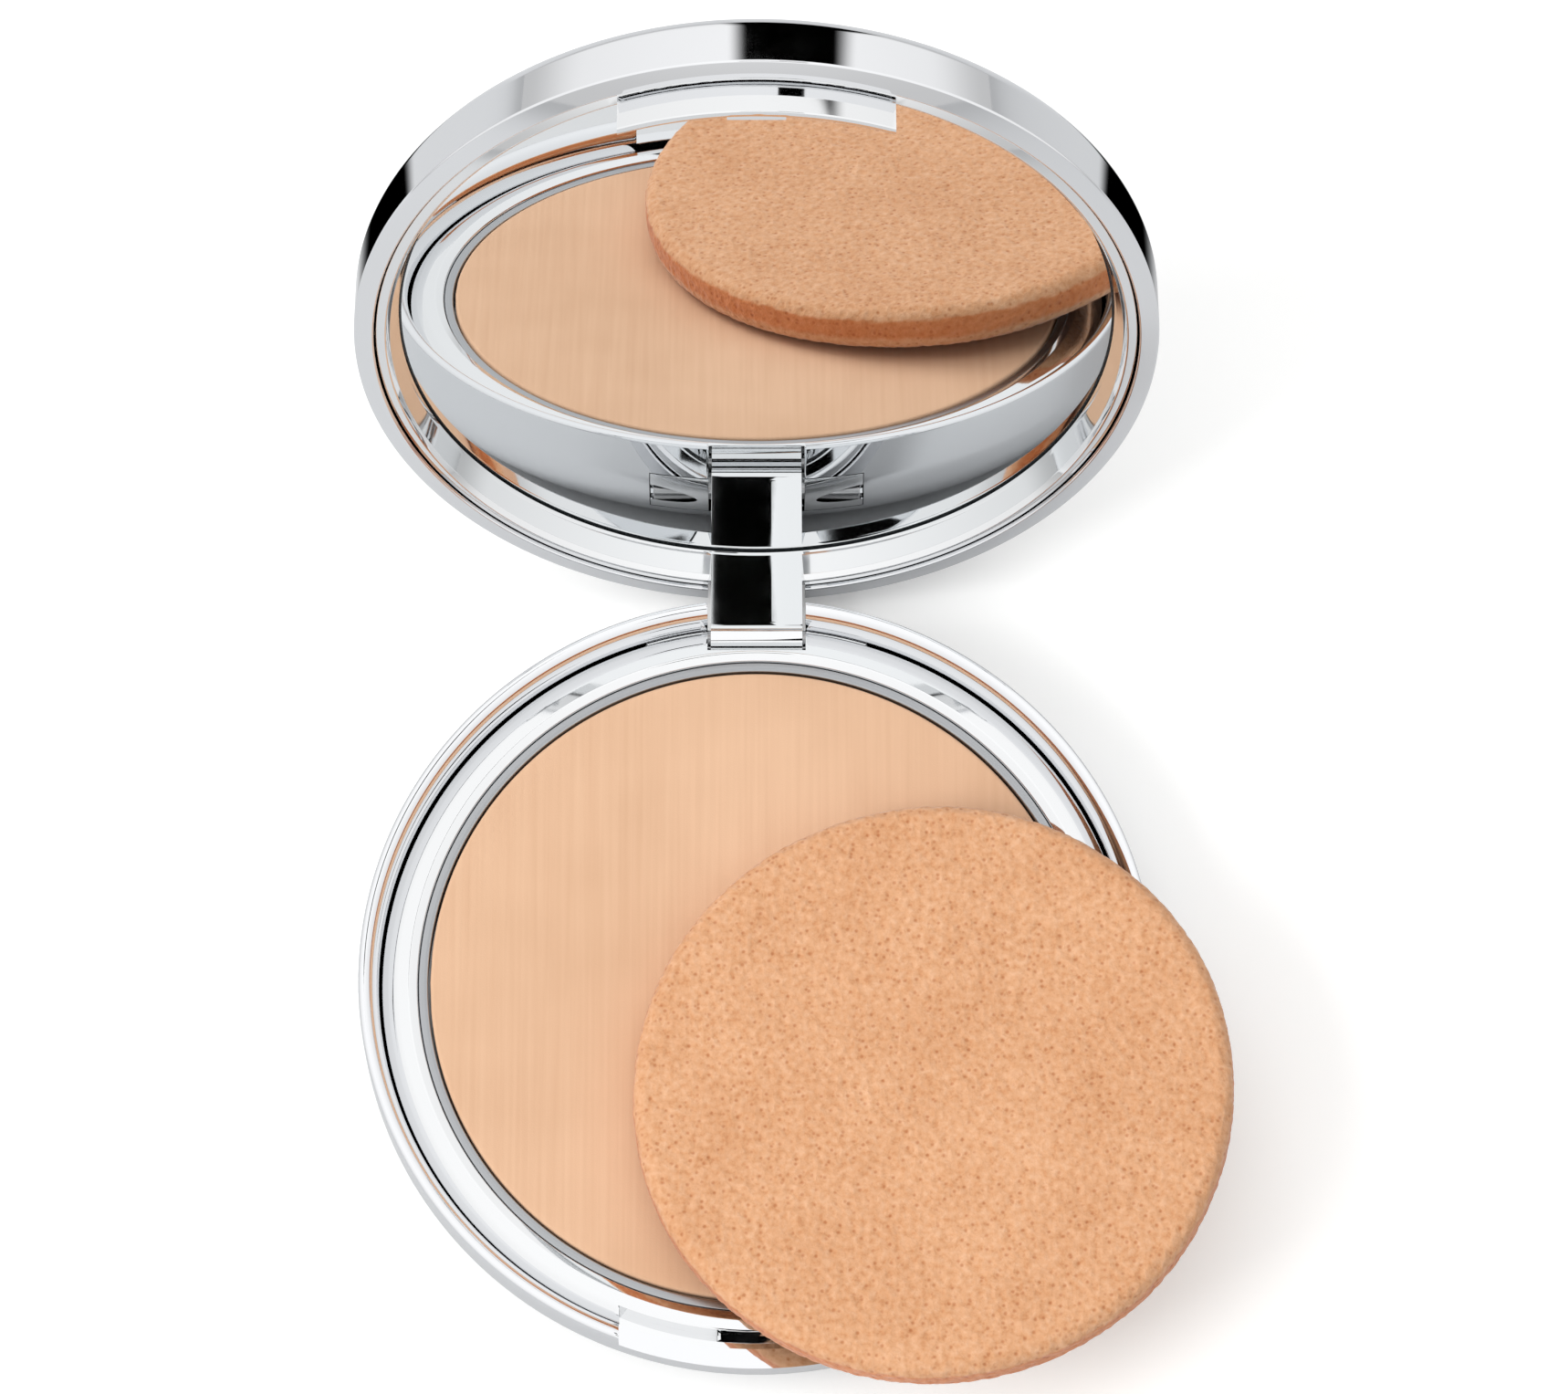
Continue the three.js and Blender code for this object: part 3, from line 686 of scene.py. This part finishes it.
# The cake's top is cut in columns along Y, so that the ribs across X have points enough.
def makeCake():
    form = bmesh.new()
    flatRadius = cake["radius"] - cake["edge"]
    columns, rows, crowding = cake["columns"], cake["rows"], cake["crowding"]
    grid = []
    for i in range(columns + 1):
        x = -flatRadius * math.cos(math.pi * i / columns)
        x = crowding * x + (1 - crowding) * flatRadius * (2 * i / columns - 1)
        half = math.sqrt(max(0, flatRadius ** 2 - x ** 2))
        ys = [half * (2 * j / rows - 1) for j in range(rows + 1)] if 0 < i < columns else [0]
        grid.append([form.verts.new((x * mm, y * mm, cake["top"] * mm)) for y in ys])
    for a, b in zip(grid, grid[1:]):
        lastA, lastB = len(a) - 1, len(b) - 1
        for j in range(rows):
            corner = [a[min(j, lastA)], b[min(j, lastB)], b[min(j + 1, lastB)], a[min(j + 1, lastA)]]
            form.faces.new(list(dict.fromkeys(corner)))
    rim = [column[0] for column in grid] + [column[-1] for column in grid[-2:0:-1]]
    turns = [math.pi / 2 * k / cake["edgeSteps"] for k in range(1, cake["edgeSteps"] + 1)]
    edge = [(cake["edge"] * math.sin(t), cake["edge"] * (1 - math.cos(t))) for t in turns]
    rings = [rim]
    for outward, down in edge + [(cake["edge"], cake["top"] - cake["under"])]:
        grow = (flatRadius + outward) / flatRadius
        height = (cake["top"] - down) * mm
        rings.append([form.verts.new((v.co.x * grow, v.co.y * grow, height)) for v in rim])
    joinRings(form, rings)
    form.faces.new(rings[-1])
    bmesh.ops.recalc_face_normals(form, faces=form.faces)
    piece = growWith(pieceFrom(form, "cake"), makeRibTree(), {
        "Spacing": cake["ribSpacing"] * mm, "Depth": cake["ribDepth"] * mm, "Radius": cake["radius"] * mm,
        "Top": cake["top"] * mm, "Finish": pressedPowder})
    return finishPiece(piece, "powder_cake_pressed", "powder_cake", pressedPowder, edge=0)


def makePin():
    low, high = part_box("hinge_pin")
    radius = (high.z - low.z) / mm / 2
    wire = hingeBar(radius, -high.x / mm, high.x / mm)
    return finishPiece(wire, "hinge_pin_wire", "hinge_pin", steelWire, edge=pin["edge"])


makeLabel()
makePan()
makeCake()
makePin()
print("label, pan, powder and pin made")


lid = {
    "rim": 12.25, "top": 19.7, "wall": 1.4, "roof": 1.1, "rimRound": 0.2, "rimDrop": 0.15, "rimRise": 0.32,
    "lipUp": 0.5, "lipOut": 0.1, "wallFoot": 1.2, "sideTop": 16.9, "shoulderRadius": 34.4,
    "shoulderTop": 19.1, "shoulderIn": 0.6, "sideDrop": 0.2, "crownRadius": 24, "crownTop": 19.5,
    "slotHeight": 2.6,
}
bezel = {
    "radius": 34.98, "skirtUp": 0.3, "toe": 34.1, "heel": 33.7, "heelUp": 0.5, "lipFoot": 33.1,
    "lipThick": 0.5, "lipLead": 0.2, "mirrorEdge": 32.9, "mirrorRadius": 33.6, "edgeShadeRadius": 32.72,
    "mirrorZ": 15.4, "mirrorThick": 1.5, "mirrorBevel": 0.3, "armDrop": 0.3, "trimUp": 2.3,
    "tabRadius": 34.75, "tabHalfWidth": 12.3, "tabDrop": 3.6, "tabThick": 0.85, "tabTaper": 1,
    "tabLift": 0.1, "tabRoot": 1.4, "nubHalfWidth": 2.6, "nubHeight": 0.6, "nubRoot": 0.6, "nubProud": 0.1,
}


def makeLidShell():
    innerRadius = caseRadius - lid["wall"]
    shell = turned("lid shell", [
        (base["innerRadius"], lid["rim"] + lid["lipUp"], 0.1),
        (base["innerRadius"] + lid["lipOut"], lid["rim"] - lid["rimDrop"], 0.15),
        (caseRadius, lid["rim"] + lid["rimRise"], lid["rimRound"]),
        *arc(lid["shoulderRadius"], lid["sideTop"], caseRadius - lid["shoulderRadius"],
             lid["shoulderTop"] - lid["sideTop"], 0, 90, 14),
        (lid["crownRadius"], lid["crownTop"], 30),
        (0, lid["top"], 0),
        (0, lid["top"] - lid["roof"], 0),
        (lid["crownRadius"], lid["crownTop"] - lid["roof"], 0),
        (lid["shoulderRadius"] - lid["shoulderIn"], lid["shoulderTop"] - lid["roof"], 0.3),
        (innerRadius, lid["sideTop"] - lid["sideDrop"], 0.3),
        (innerRadius, lid["rim"] + lid["wallFoot"], 0.2),
    ])
    reach = lug["halfWidth"] + base["gap"]
    combine(shell, "DIFFERENCE", block(-reach, reach, base["rearCut"], caseRadius + overcut,
                                       lid["rim"] - overcut, lid["rim"] + lid["slotHeight"]))
    return finishPiece(shell, "lid_shell_plated", "lid_outer_shell", chromePlate, openLid)


# The lid's inner frame, with the hinge lug, the thumb tab and its catch nub in one moulding.
def makeBezel():
    seat = bezel["mirrorRadius"] + base["gap"]
    lip = bezel["mirrorZ"] - bezel["lipLead"]
    back = bezel["mirrorZ"] + bezel["mirrorThick"]
    rim = lid["rim"]
    ring = turned("bezel", [
        (bezel["radius"], rim + bezel["skirtUp"], 0.1),
        (bezel["radius"], back, 0),
        (seat, back, 0),
        (seat, lip, 0),
        (bezel["mirrorEdge"], lip, 0.08),
        (bezel["lipFoot"], lip - bezel["lipThick"], 0.3),
        (bezel["heel"], rim + bezel["heelUp"], 0.3),
        (bezel["toe"], rim, 0.2),
    ])
    wide = lug["halfWidth"]
    arm = block(-wide, wide, hingeY - lug["barrel"] - overcut, lug["back"], hingeZ, lip - bezel["armDrop"])
    combine(arm, "DIFFERENCE", drum(lug["bow"], 0, lid["top"] + overcut))
    combine(arm, "UNION", hingeBar(lug["barrel"], -wide, wide))
    tabInner = bezel["tabRadius"] - bezel["tabThick"]
    tabFoot = rim - bezel["tabDrop"]
    taper = math.tan(math.radians(bezel["tabTaper"]))
    tipRadius = bezel["tabRadius"] - (bezel["tabDrop"] + bezel["tabLift"]) * taper
    tabRing = turned("tab", [
        (tabInner, tabFoot, 0.15),
        (tipRadius, tabFoot, 0.15),
        (bezel["tabRadius"], rim + bezel["tabLift"], 0.1),
        (bezel["tabRadius"], rim + bezel["tabRoot"], 0),
        (tabInner, rim + bezel["tabRoot"], 0)])
    combine(tabRing, "INTERSECT", block(-bezel["tabHalfWidth"], bezel["tabHalfWidth"], -caseRadius,
                                        notch["cutY"], 0, lid["top"]))
    nub = block(-bezel["nubHalfWidth"], bezel["nubHalfWidth"], -bezel["tabRadius"] + bezel["nubRoot"],
                -notch["innerRadius"] - bezel["nubProud"], tabFoot, tabFoot + bezel["nubHeight"])
    combine(ring, "UNION", arm, tabRing, nub)
    trim = block(-caseRadius, caseRadius, base["rearCut"], caseRadius + 2 * overcut,
                 rim + bezel["trimUp"], lid["top"])
    combine(trim, "DIFFERENCE", drum(bezel["radius"], 0, lid["top"] + overcut))
    combine(ring, "DIFFERENCE", trim, hingeBar(deck["pinHole"], -caseRadius, caseRadius))
    return finishPiece(ring, "lid_bezel_plated", "lid_bezel", chromeMoulding, openLid)


def makeMirrorGlass():
    front = bezel["mirrorZ"]
    back = front + bezel["mirrorThick"]
    glass = turned("mirror", [
        (0, front, 0),
        (bezel["edgeShadeRadius"], front, 0),
        (bezel["mirrorRadius"] - bezel["mirrorBevel"], front, 0),
        (bezel["mirrorRadius"], front + bezel["mirrorBevel"], 0.05),
        (bezel["mirrorRadius"], back, 0.1),
        (0, back, 0),
    ])
    finishPiece(glass, "mirror_glass", "mirror", silveredGlass, edge=0)
    glass.data.materials.append(paintedEdgeShade)
    # The outer faces take the painted shade ring, and the rest is silvered.
    for face in glass.data.polygons:
        outward = math.hypot(face.center.x, face.center.y) / mm
        face.material_index = 1 if outward > bezel["edgeShadeRadius"] else 0
    glass.data.transform(openLid)
    return glass


makeLidShell()
makeBezel()
makeMirrorGlass()
print("lid made")


sponge = {
    "radius": 27.7, "thick": 5.0, "topRound": 1.5, "footRound": 2.2, "cells": 190, "edgeSteps": 8,
    "offset": 20.5, "heading": (0.8, -0.6, 0), "tilt": 5.6, "under": 12.08,
    "poreSize": 0.75, "poreDepth": 0.1, "swellSize": 14, "sink": -0.12, "swell": 0.04, "seed": 4,
    "fill": 0.9,
}


# Tree that roughens the foam: every point moves in by its place in a field of pores.
def makePoreTree():
    tree, given = newTree("foam pores", ("Pore size", "Depth", "Seed"))
    place = addNode(tree, "GeometryNodeInputPosition")
    normal = addNode(tree, "GeometryNodeInputNormal")
    scale = addNode(tree, "ShaderNodeMath", {0: 1.0, 1: given["Pore size"]}, operation="DIVIDE")
    pores = addNode(tree, "ShaderNodeTexNoise", {
        "Vector": place.outputs[0], "W": given["Seed"], "Scale": scale.outputs[0], "Detail": 1.0},
        noise_dimensions="4D")
    sway = addNode(tree, "ShaderNodeTexNoise", {
        "Vector": place.outputs[0], "W": given["Seed"], "Scale": 1 / (sponge["swellSize"] * mm),
        "Detail": 0.0}, noise_dimensions="4D")
    pit = addNode(tree, "ShaderNodeMapRange", {
        "Value": pores.outputs["Fac"], "From Min": 0.32, "From Max": 0.62, "To Min": -1.0, "To Max": 0.0})
    depth = addNode(tree, "ShaderNodeMath", {
        0: pit.outputs["Result"], 1: given["Depth"]}, operation="MULTIPLY")
    swell = addNode(tree, "ShaderNodeMapRange", {
        "Value": sway.outputs["Fac"], "From Min": 0.3, "From Max": 0.7,
        "To Min": sponge["sink"] * mm, "To Max": sponge["swell"] * mm})
    total = addNode(tree, "ShaderNodeMath", {
        0: depth.outputs[0], 1: swell.outputs["Result"]}, operation="ADD")
    offset = addNode(tree, "ShaderNodeVectorMath", {
        0: normal.outputs[0], "Scale": total.outputs[0]}, operation="SCALE")
    moved = addNode(tree, "GeometryNodeSetPosition", {
        "Geometry": given["Geometry"], "Offset": offset.outputs[0]})
    return closeTree(tree, moved, given["Finish"])


# Square to disc: even cells out to a round rim.
def toDisc(u, v):
    if u == 0 and v == 0:
        return 0.0, 0.0
    if abs(u) > abs(v):
        radius, angle = u, math.pi / 4 * v / u
    else:
        radius, angle = v, math.pi / 2 - math.pi / 4 * u / v
    return radius * math.cos(angle), radius * math.sin(angle)


# One flat face of the sponge, and its rim in order.
def addDisc(form, cells, radius, z):
    grid = []
    for i in range(cells + 1):
        row = [toDisc(2 * i / cells - 1, 2 * j / cells - 1) for j in range(cells + 1)]
        grid.append([form.verts.new((x * radius * mm, y * radius * mm, z * mm)) for x, y in row])
    for a, b in zip(grid, grid[1:]):
        for j in range(cells):
            form.faces.new([a[j], b[j], b[j + 1], a[j + 1]])
    out = [grid[i][0] for i in range(cells)] + [grid[cells][j] for j in range(cells)]
    return out + [grid[i][cells] for i in range(cells, 0, -1)] + [grid[0][j] for j in range(cells, 0, -1)]


def makeSponge():
    radius, thick, steps = sponge["radius"], sponge["thick"], sponge["edgeSteps"]
    top, foot = sponge["topRound"], sponge["footRound"]
    form = bmesh.new()
    topRim = addDisc(form, sponge["cells"], radius - top, thick)
    footRim = addDisc(form, sponge["cells"], radius - foot, 0)
    outline = arc(radius - top, thick - top, top, top, 90, 0, steps)[1:]
    outline += [(radius, thick - top - (thick - top - foot) * k / 3, 0) for k in (1, 2)]
    outline += arc(radius - foot, foot, foot, foot, 0, -90, steps)[:-1]
    rings = [topRim]
    for r, z, _ in outline:
        grow = r / (radius - top)
        rings.append([form.verts.new((v.co.x * grow, v.co.y * grow, z * mm)) for v in topRim])
    rings.append(footRim)
    joinRings(form, rings)
    bmesh.ops.recalc_face_normals(form, faces=form.faces)
    piece = pieceFrom(form, "sponge")
    heading = Vector(sponge["heading"])
    leanAxis = Vector((0, 0, 1)).cross(heading)
    centre = heading * sponge["offset"] + Vector((0, 0, sponge["under"]))
    lean = Matrix.Rotation(-math.radians(sponge["tilt"]), 4, leanAxis)
    piece.data.transform(Matrix.Translation(centre * mm) @ lean)
    growWith(piece, makePoreTree(), {
        "Pore size": sponge["poreSize"] * mm, "Depth": sponge["poreDepth"] * mm,
        "Seed": float(sponge["seed"]), "Finish": latexFoam})
    finishPiece(piece, "sponge_foam", "sponge", latexFoam, edge=0)
    return piece


makeSponge()
print("sponge made")


# The hidden tape pads keep their shape and take their material.
for name in ("pan_adhesive", "mirror_adhesive"):
    nodes[name].data.materials.clear()
    nodes[name].data.materials.append(foamTape)
print("tape pads made")


# The studio, its flags and the camera are in metres, and lamp powers in watts.
studio = {
    "floorColour": "f8f8f7", "floorShadeInChrome": "d2d3d4", "floorGlow": 0.16, "floorHalf": 3, "floorDrop": 0.02,
    "softboxPower": 3.4, "softboxSize": 1.0, "softboxPlace": (0, 0.28, 1.25),
    "keyPower": 9.0, "keyPlace": (-0.95, -0.35, 0.95), "keySize": 0.7,
    "seenHorizon": 0.7, "seenWall": 1.02, "seenRise": 0.22, "seenSides": -0.08,
    "fillLevel": 0.34, "fillRise": 0.6, "fillLean": -0.25,
}


def makeFloor():
    form = bmesh.new()
    bmesh.ops.create_grid(form, x_segments=2, y_segments=2, size=studio["floorHalf"])
    floor = pieceFrom(form, "studio_floor")
    floor.data.transform(Matrix.Translation((0, 0, -studio["floorDrop"] * mm)))
    material, tree = newMaterial("pale_paper_floor")
    path = addNode(tree, "ShaderNodeLightPath")
    # Painted shade: glossy rays see the floor a darker grey than its own colour.
    tone = addNode(tree, "ShaderNodeMix", {
        "Factor": path.outputs["Is Glossy Ray"], 6: linear(studio["floorColour"]),
        7: linear(studio["floorShadeInChrome"])}, data_type="RGBA")
    backlight = addNode(tree, "ShaderNodeMath", {
        0: path.outputs["Is Camera Ray"], 1: studio["floorGlow"]}, operation="MULTIPLY")
    shader = addNode(tree, "ShaderNodeBsdfPrincipled", {
        "Base Color": tone.outputs[2], "Roughness": 0.9, "Specular IOR Level": 0.1,
        "Emission Color": (1, 1, 1, 1), "Emission Strength": backlight.outputs[0]})
    closeMaterial(tree, shader)
    floor.data.materials.append(material)


def makeSoftbox(name, place, size, power):
    lamp = bpy.data.lights.new(name, "AREA")
    lamp.shape = "SQUARE"
    lamp.size = size
    lamp.energy = power
    box = newObject(name, lamp)
    box.location = place
    box.rotation_euler = (-Vector(place)).to_track_quat("-Z", "Y").to_euler()
    box.visible_camera = False
    box.visible_glossy = False


# Black flags that only reflections see: they give the chrome its dark bands. Bearing 0 is +Y,
# and softness is the share of a flag's width, then of its height, over which an edge fades.
flags = {
    "rearDistance": 1.6, "rearBearings": (-6.6, 21.2), "rearLow": 1, "rearTops": (27.8, 26.4),
    "rearSoftness": (0.17, 0.02),
    "overDistance": 0.7, "overSoftness": (0.04, 0.04),
    "cameraX": (-0.045, 0.127), "cameraHeights": (65, 77), "tabX": (0.06, 0.14), "tabHeights": (73, 83),
    "sideX": (0.042, 0.12), "sideY": (0.068, 0.118), "sideSoftness": (0.2, 0.2),
}


# How much of a flag is left at a point, across one axis of its UV map.
def addFade(tree, axis, softness):
    fromMiddle = addNode(tree, "ShaderNodeMath", {0: axis, 1: 0.5}, operation="SUBTRACT")
    distance = addNode(tree, "ShaderNodeMath", {0: fromMiddle.outputs[0]}, operation="ABSOLUTE")
    return addNode(tree, "ShaderNodeMapRange", {
        "Value": distance.outputs[0], "From Min": 0.5, "From Max": 0.5 - softness},
        interpolation_type="SMOOTHSTEP").outputs["Result"]


def makeFlag(name, corners, softness):
    mesh = bpy.data.meshes.new(name)
    mesh.from_pydata([Vector(c) for c in corners], [], [(0, 1, 2, 3)])
    layer = mesh.uv_layers.new(name="UVMap")
    for loop, uv in zip(layer.data, [(0, 0), (1, 0), (1, 1), (0, 1)]):
        loop.uv = uv
    flag = newObject(name, mesh)
    material, tree = newMaterial(name)
    axes = addNode(tree, "ShaderNodeSeparateXYZ", {0: addNode(tree, "ShaderNodeUVMap").outputs[0]})
    cover = addNode(tree, "ShaderNodeMath", {
        0: addFade(tree, axes.outputs["X"], softness[0]), 1: addFade(tree, axes.outputs["Y"], softness[1])},
        operation="MULTIPLY")
    black = addNode(tree, "ShaderNodeEmission", {"Color": (0, 0, 0, 1), "Strength": 0.0})
    clear = addNode(tree, "ShaderNodeBsdfTransparent")
    closeMaterial(tree, addNode(tree, "ShaderNodeMixShader", {
        0: cover.outputs[0], 1: clear.outputs[0], 2: black.outputs[0]}))
    mesh.materials.append(material)
    for ray in ("camera", "diffuse", "shadow", "transmission", "volume_scatter"):
        setattr(flag, "visible_" + ray, False)


# A point on a sphere about the object, from its bearing (0 is +Y, towards +X) and height angle.
def onDome(bearing, height, distance):
    b, h = math.radians(bearing), math.radians(height)
    level = distance * math.cos(h)
    return (level * math.sin(b), level * math.cos(b), distance * math.sin(h))


# A flag across X, high over the object on the camera's side or the far side.
def makeOverFlag(name, bearing, acrossX, heights):
    low, high = (onDome(bearing, height, flags["overDistance"])[1:] for height in heights)
    left, right = acrossX
    makeFlag(name, [(left, *low), (right, *low), (right, *high), (left, *high)], flags["overSoftness"])


def makeFlags():
    left, right = flags["rearBearings"]
    leftTop, rightTop = flags["rearTops"]
    makeFlag("rear_flag", [onDome(bearing, height, flags["rearDistance"]) for bearing, height in (
        (left, flags["rearLow"]), (right, flags["rearLow"]), (right, rightTop), (left, leftTop))],
        flags["rearSoftness"])
    makeOverFlag("camera_flag", 180, flags["cameraX"], flags["cameraHeights"])
    makeOverFlag("tab_flag", 0, flags["tabX"], flags["tabHeights"])
    near, far = flags["sideX"]
    front, back = flags["sideY"]
    for side in (-1, 1):
        makeFlag("side_flag", [(side * near, front, 0), (side * far, front, 0),
                               (side * far, back, 0), (side * near, back, 0)], flags["sideSoftness"])


# The room. Chrome sees bright walls that fall off to the sides, and matt surfaces take most of
# their light from above and from the left.
def makeWorld():
    world = bpy.data.worlds.new("studio")
    bpy.context.scene.world = world
    world.use_nodes = True
    tree = world.node_tree
    tree.nodes.clear()
    axes = addNode(tree, "ShaderNodeSeparateXYZ", {
        0: addNode(tree, "ShaderNodeTexCoord").outputs["Generated"]})
    sideways = addNode(tree, "ShaderNodeMath", {0: axes.outputs["X"]}, operation="ABSOLUTE")
    walls = addNode(tree, "ShaderNodeMapRange", {
        "Value": axes.outputs["Z"], "From Min": 0.0, "From Max": 0.2,
        "To Min": studio["seenHorizon"], "To Max": studio["seenWall"]}, interpolation_type="SMOOTHSTEP")
    seen, fill = walls.outputs["Result"], studio["fillLevel"]
    for axis, slope in ((axes.outputs["Z"], studio["seenRise"]), (sideways.outputs[0], studio["seenSides"])):
        seen = addNode(tree, "ShaderNodeMath", {
            0: axis, 1: slope, 2: seen}, operation="MULTIPLY_ADD").outputs[0]
    for axis, slope in ((axes.outputs["Z"], studio["fillRise"]), (axes.outputs["X"], studio["fillLean"])):
        fill = addNode(tree, "ShaderNodeMath", {
            0: axis, 1: slope, 2: fill}, operation="MULTIPLY_ADD").outputs[0]
    path = addNode(tree, "ShaderNodeLightPath")
    strength = addNode(tree, "ShaderNodeMix", {0: path.outputs["Is Diffuse Ray"], 2: seen, 3: fill})
    room = addNode(tree, "ShaderNodeBackground", {"Color": (1, 1, 1, 1), "Strength": strength.outputs[0]})
    addNode(tree, "ShaderNodeOutputWorld", {"Surface": room.outputs[0]})


def makeStudio():
    makeFloor()
    makeSoftbox("overhead_softbox", studio["softboxPlace"], studio["softboxSize"], studio["softboxPower"])
    makeSoftbox("key_softbox", studio["keyPlace"], studio["keySize"], studio["keyPower"])
    makeFlags()
    makeWorld()
    bpy.context.scene.view_settings.view_transform = "Standard"


view = {"elevation": 71, "distance": 0.650, "target": (0, 0.02505, 0.01805), "lens": 160.2,
        "sensor": 36, "shiftX": 0.0175, "nearest": 0.01}


def makeCamera():
    lens = bpy.data.cameras.new("camera")
    lens.lens = view["lens"]
    lens.sensor_width = view["sensor"]
    lens.shift_x = view["shiftX"]
    lens.clip_start = view["nearest"]
    camera = newObject("camera", lens)
    angle = math.radians(view["elevation"])
    backwards = Vector((0, -math.cos(angle), math.sin(angle)))
    camera.location = Vector(view["target"]) + view["distance"] * backwards
    camera.rotation_euler = (math.pi / 2 - angle, 0, 0)
    bpy.context.scene.camera = camera


makeStudio()
makeCamera()
print("studio and camera made")
